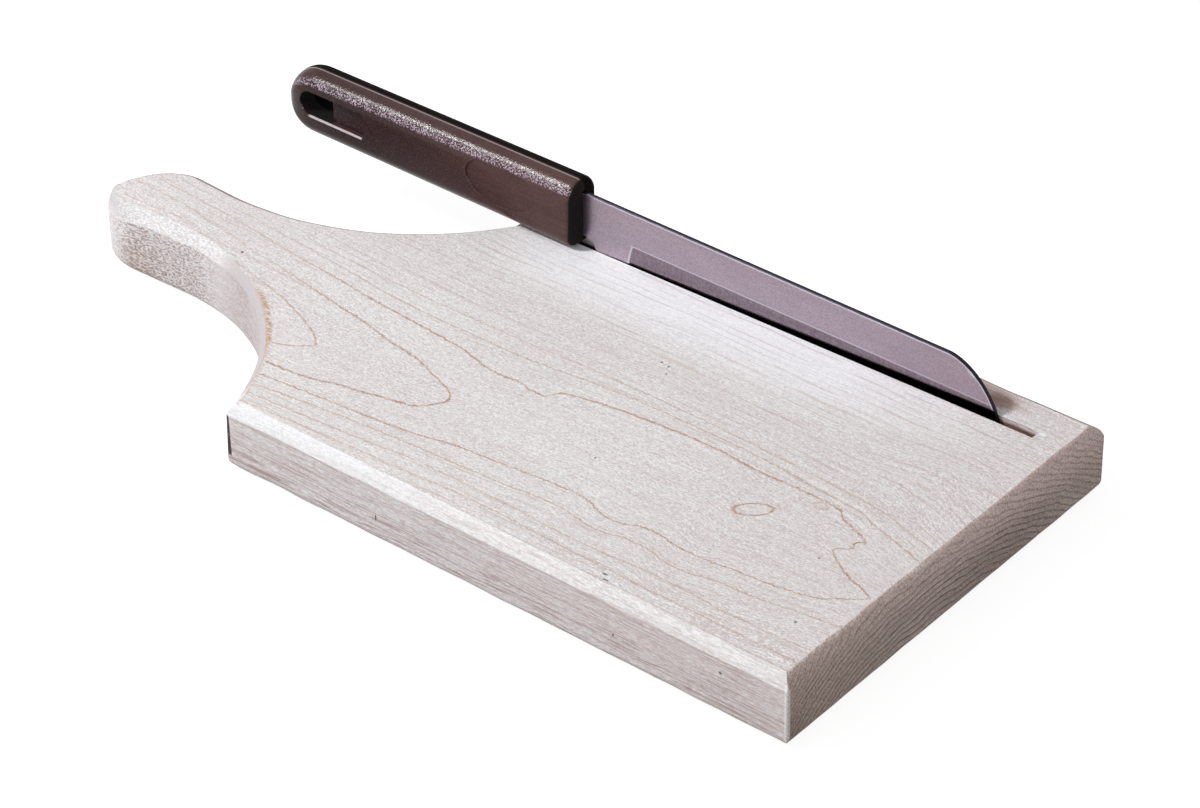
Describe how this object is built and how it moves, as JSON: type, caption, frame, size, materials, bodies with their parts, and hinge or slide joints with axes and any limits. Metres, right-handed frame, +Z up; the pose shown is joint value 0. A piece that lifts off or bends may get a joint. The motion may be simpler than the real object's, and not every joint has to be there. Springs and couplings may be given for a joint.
{
  "type": "bread board with knife",
  "caption": "Paddle-shaped wooden bread board whose saw slot holds a plastic-handled kitchen knife standing on its edge.",
  "frame": {"origin": "middle of the square body of the board, on its underside", "axes": "+Z up through the board, +X from the paddle handle towards the square end, +Y towards the slotted edge"},
  "size_m": [0.2919, 0.1374, 0.0454],
  "materials": {
    "maple": "bare sanded maple, no varnish",
    "blade_steel": "satin, with a fine cross-ground bevel",
    "brown_plastic": "finely grained moulded plastic, low sheen"
  },
  "bodies": {
    "board": {"board": "maple"},
    "knife": {"blade": "blade_steel", "handle_near_half": "brown_plastic", "handle_far_half": "brown_plastic"}
  },
  "joints": [
    {"name": "knife_lift", "type": "slide", "parent": "board", "child": "knife", "axis": [0, 0, 1], "range_m": [0, 0.03]}
  ]
}
